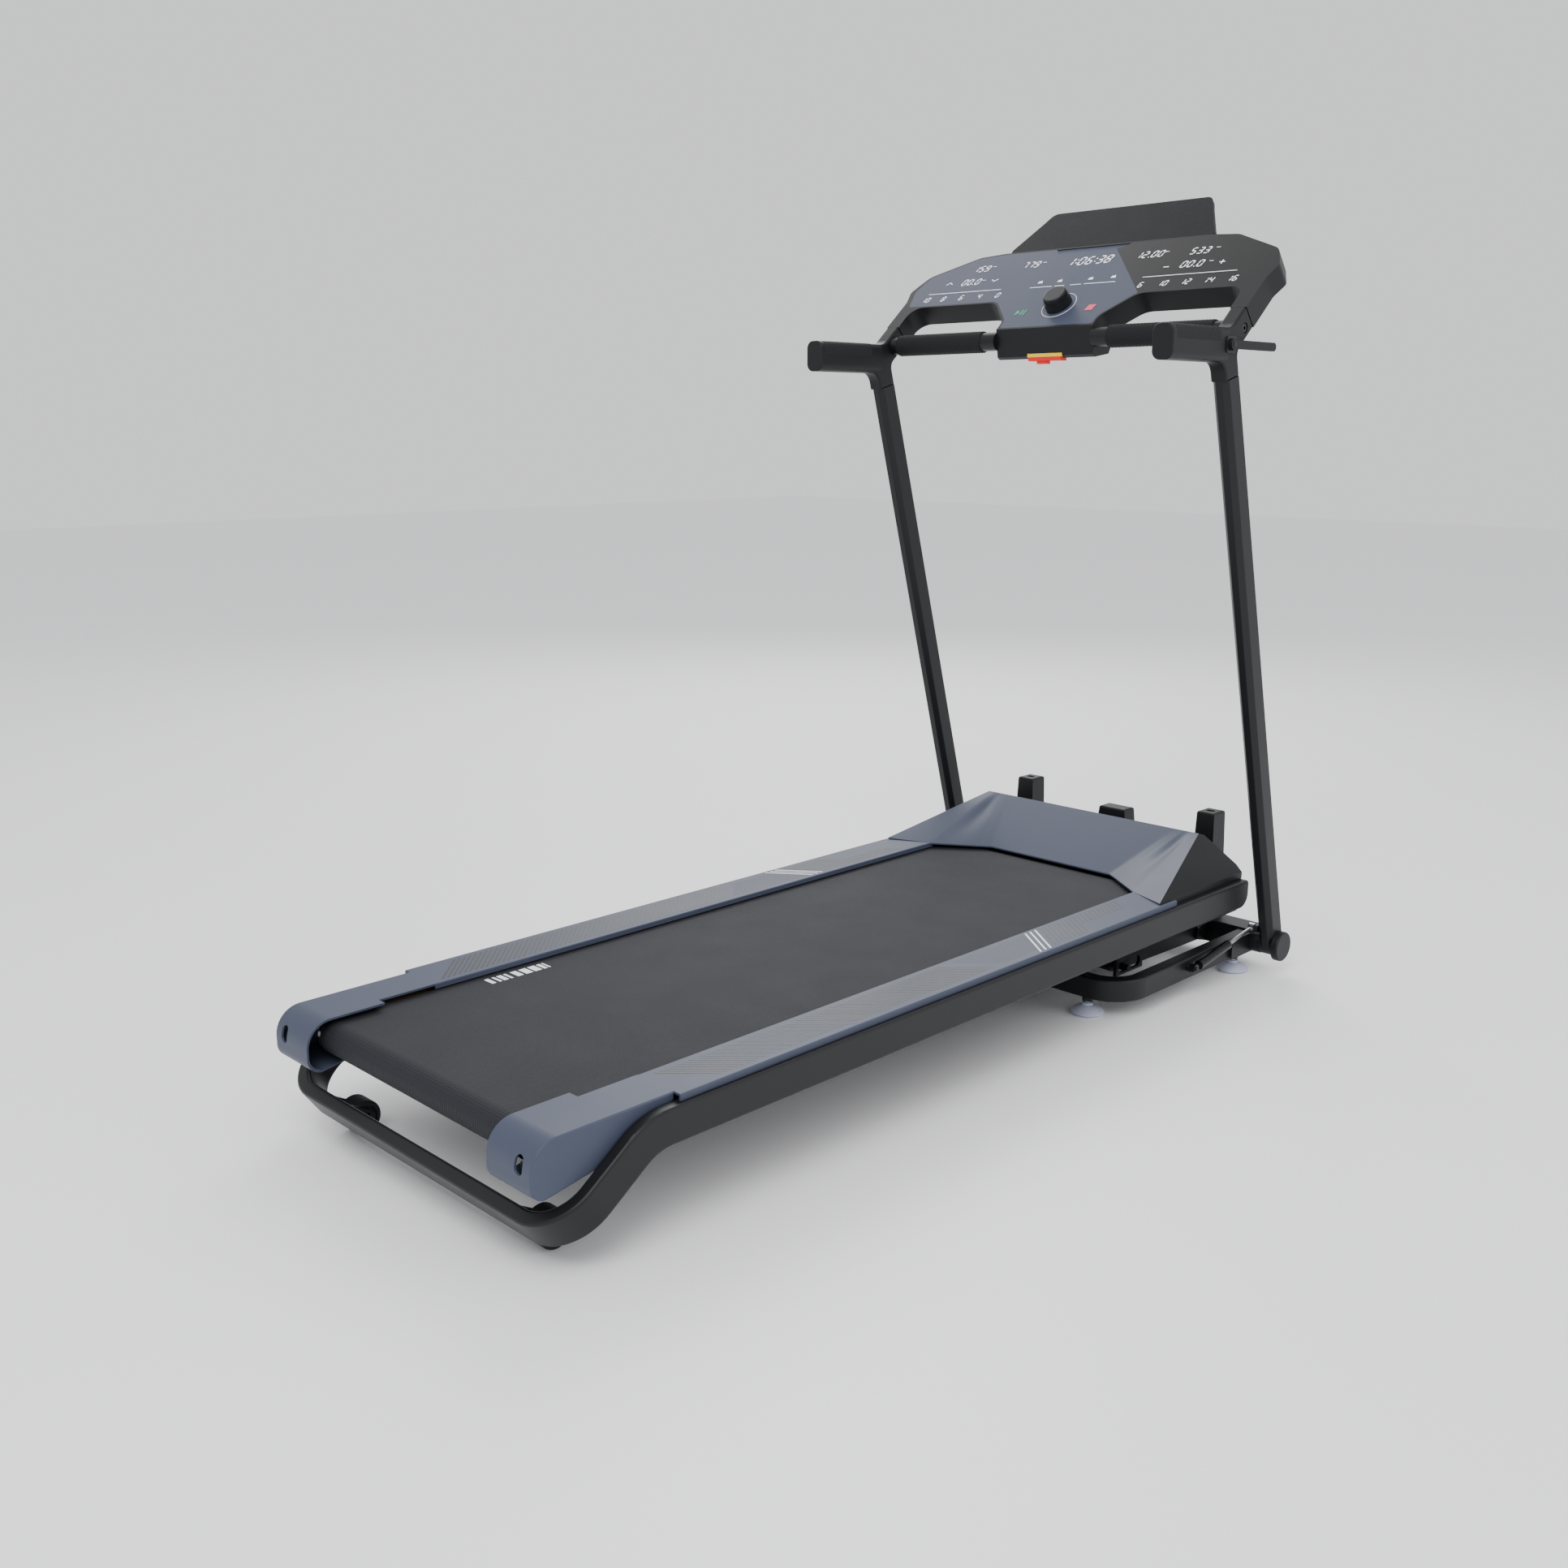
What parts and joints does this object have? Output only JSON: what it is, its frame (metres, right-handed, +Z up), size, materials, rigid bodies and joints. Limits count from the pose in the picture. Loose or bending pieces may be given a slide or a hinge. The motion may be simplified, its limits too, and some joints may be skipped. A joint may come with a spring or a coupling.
{
  "type": "treadmill",
  "caption": "Folding treadmill with a motorised incline, a textured running belt, leaning uprights, side and cross handles, a winged console, a turn knob and a tablet holder.",
  "frame": {"origin": "on the floor under the middle of the machine's bounding box", "axes": "+X towards the console, +Y to the user's left, +Z up"},
  "size_m": [1.612, 0.75, 1.3279],
  "materials": {
    "slate_plastic": "fine-grained slate blue-grey plastic",
    "black_plastic": "moulded black plastic",
    "black_frame": "black powder coat, satin",
    "bright_steel": "bright turned steel",
    "dark_steel": "dark oxide steel",
    "pale_foot_plastic": "pale lilac-grey plastic",
    "wheel_rubber": "dull black rubber",
    "belt_rubber": "woven textured running surface",
    "drive_rubber": "dull ribbed rubber",
    "cushion_rubber": "soft dark rubber",
    "board_laminate": "waxed laminate on fibreboard",
    "hinge_plastic": "moulded black cover on a steel pin",
    "grip_plastic": "textured soft grip",
    "grip_foam": "textured closed-cell foam",
    "board_green": "printed circuit board",
    "display_gloss": "glossy black window",
    "knob_plastic": "satin black knob",
    "yellow_rim": "yellow plastic",
    "red_key": "red plastic",
    "holder_plastic": "dotted black plastic",
    "switch_red": "red translucent rocker",
    "strut_black": "gloss black lacquer"
  },
  "bodies": {
    "stand": {"base_frame": "black_frame", "front_member": "black_frame", "stand_posts": "black_plastic"},
    "deck": {"side_tube_left": "black_frame", "side_tube_right": "black_frame", "rear_loop": "black_frame", "wheel_cheeks": "black_frame", "cross_members": "black_frame", "inner_rails": "black_frame", "deck_board": "board_laminate", "deck_cushions": "cushion_rubber", "running_belt": "belt_rubber", "roller_axles": "bright_steel", "tension_bolts": "bright_steel", "foot_rails": "slate_plastic", "rear_caps": "slate_plastic", "motor_hood": "slate_plastic", "hood_shroud": "black_plastic", "power_inlet": "black_plastic", "switch_frame": "black_plastic", "motor_tray": "black_frame", "belly_pan": "black_plastic", "drive_motor": "black_plastic", "drive_belt": "drive_rubber", "controller": "black_plastic", "lift_motor": "black_plastic"},
    "lift": {"lift_frame": "black_frame"},
    "console_frame": {"upright_left": "black_frame", "upright_right": "black_frame", "hinge_pins": "hinge_plastic", "handle_housing_left": "black_plastic", "handle_housing_right": "black_plastic", "handle_grips": "grip_plastic", "handle_caps": "black_plastic", "arm_fittings": "dark_steel", "cross_bars": "black_frame", "cross_grips": "grip_foam", "console_shell": "black_plastic", "console_back": "black_plastic", "display_board": "board_green", "console_fascia": "slate_plastic", "display_panel": "display_gloss", "key_socket": "yellow_rim", "tablet_holder": "holder_plastic"},
    "foot_rl": {"foot_rear_left": "pale_foot_plastic"},
    "foot_rr": {"foot_rear_right": "pale_foot_plastic"},
    "foot_fl": {"foot_front_left": "pale_foot_plastic"},
    "foot_fr": {"foot_front_right": "pale_foot_plastic"},
    "wheel_l": {"rear_wheel_left": "wheel_rubber"},
    "wheel_r": {"rear_wheel_right": "wheel_rubber"},
    "front_drum": {"front_roller": "bright_steel"},
    "rear_drum": {"rear_roller": "bright_steel"},
    "motor_shaft": {"motor_pulley": "bright_steel"},
    "rocker": {"switch_rocker": "switch_red"},
    "lever": {"lock_lever": "black_plastic"},
    "knob": {"control_knob": "knob_plastic"},
    "key": {"safety_key": "red_key"},
    "strut_tube": {"strut_cylinder": "strut_black"},
    "strut_piston": {"strut_rod": "bright_steel"}
  },
  "joints": [
    {"name": "deck_incline", "type": "hinge", "parent": "stand", "child": "deck", "pos_m": [-0.73, 0, 0.024], "axis": [0, -1, 0], "range_deg": [0, 5.71]},
    {"name": "lift_swing", "type": "hinge", "parent": "stand", "child": "lift", "pos_m": [0.736, 0, 0.048], "axis": [0, 1, 0], "range_deg": [0, 26.65]},
    {"name": "frame_fold", "type": "hinge", "parent": "stand", "child": "console_frame", "pos_m": [0.759, 0, 0.052], "axis": [0, -1, 0], "range_deg": [0, 64]},
    {"name": "foot_rear_left_turn", "type": "hinge", "parent": "stand", "child": "foot_rl", "pos_m": [0.3595, 0.236, 0.01], "axis": [0, 0, 1], "continuous": true},
    {"name": "foot_rear_right_turn", "type": "hinge", "parent": "stand", "child": "foot_rr", "pos_m": [0.3595, -0.236, 0.01], "axis": [0, 0, 1], "continuous": true},
    {"name": "foot_front_left_turn", "type": "hinge", "parent": "stand", "child": "foot_fl", "pos_m": [0.722, 0.2975, 0.01], "axis": [0, 0, 1], "continuous": true},
    {"name": "foot_front_right_turn", "type": "hinge", "parent": "stand", "child": "foot_fr", "pos_m": [0.722, -0.2975, 0.01], "axis": [0, 0, 1], "continuous": true},
    {"name": "rear_wheel_left_roll", "type": "hinge", "parent": "deck", "child": "wheel_l", "pos_m": [-0.73, 0, 0.024], "axis": [0, 1, 0], "continuous": true},
    {"name": "rear_wheel_right_roll", "type": "hinge", "parent": "deck", "child": "wheel_r", "pos_m": [-0.73, 0, 0.024], "axis": [0, 1, 0], "continuous": true},
    {"name": "front_roller_spin", "type": "hinge", "parent": "deck", "child": "front_drum", "pos_m": [0.561, 0, 0.1447], "axis": [0, 1, 0], "continuous": true},
    {"name": "rear_roller_spin", "type": "hinge", "parent": "deck", "child": "rear_drum", "pos_m": [-0.754, 0, 0.1447], "axis": [0, 1, 0], "continuous": true},
    {"name": "motor_spin", "type": "hinge", "parent": "deck", "child": "motor_shaft", "pos_m": [0.641, 0.2, 0.165], "axis": [0, 1, 0], "continuous": true},
    {"name": "power_switch", "type": "hinge", "parent": "deck", "child": "rocker", "pos_m": [0.719, -0.17, 0.15], "axis": [0, 1, 0], "range_deg": [0, 8]},
    {"name": "fold_lock_lever", "type": "hinge", "parent": "console_frame", "child": "lever", "pos_m": [0.462, -0.3715, 1.072], "axis": [0, -1, 0], "range_deg": [0, 25]},
    {"name": "knob_turn", "type": "hinge", "parent": "console_frame", "child": "knob", "pos_m": [0.53425, 0, 1.15107], "axis": [-0.6574, 0, 0.7536], "continuous": true},
    {"name": "safety_key_pull", "type": "slide", "parent": "console_frame", "child": "key", "axis": [0, 0, -1], "range_m": [0, 0.012]},
    {"name": "strut_swing", "type": "hinge", "parent": "stand", "child": "strut_tube", "pos_m": [0.546, -0.322, 0.052], "axis": [0, 1, 0], "range_deg": [0, 9.95]},
    {"name": "strut_stroke", "type": "slide", "parent": "strut_tube", "child": "strut_piston", "axis": [-0.989, 0, -0.1478], "range_m": [0, 0.0176]}
  ],
  "couplings": [
    {"joint": "lift_swing", "follows": "deck_incline", "ratio": 4.6617},
    {"joint": "rear_roller_spin", "follows": "front_roller_spin", "ratio": 1},
    {"joint": "motor_spin", "follows": "front_roller_spin", "ratio": 1.1176},
    {"joint": "strut_swing", "follows": "frame_fold", "ratio": 0.15471},
    {"joint": "strut_stroke", "follows": "frame_fold", "m_per_rad": 0.015664}
  ]
}
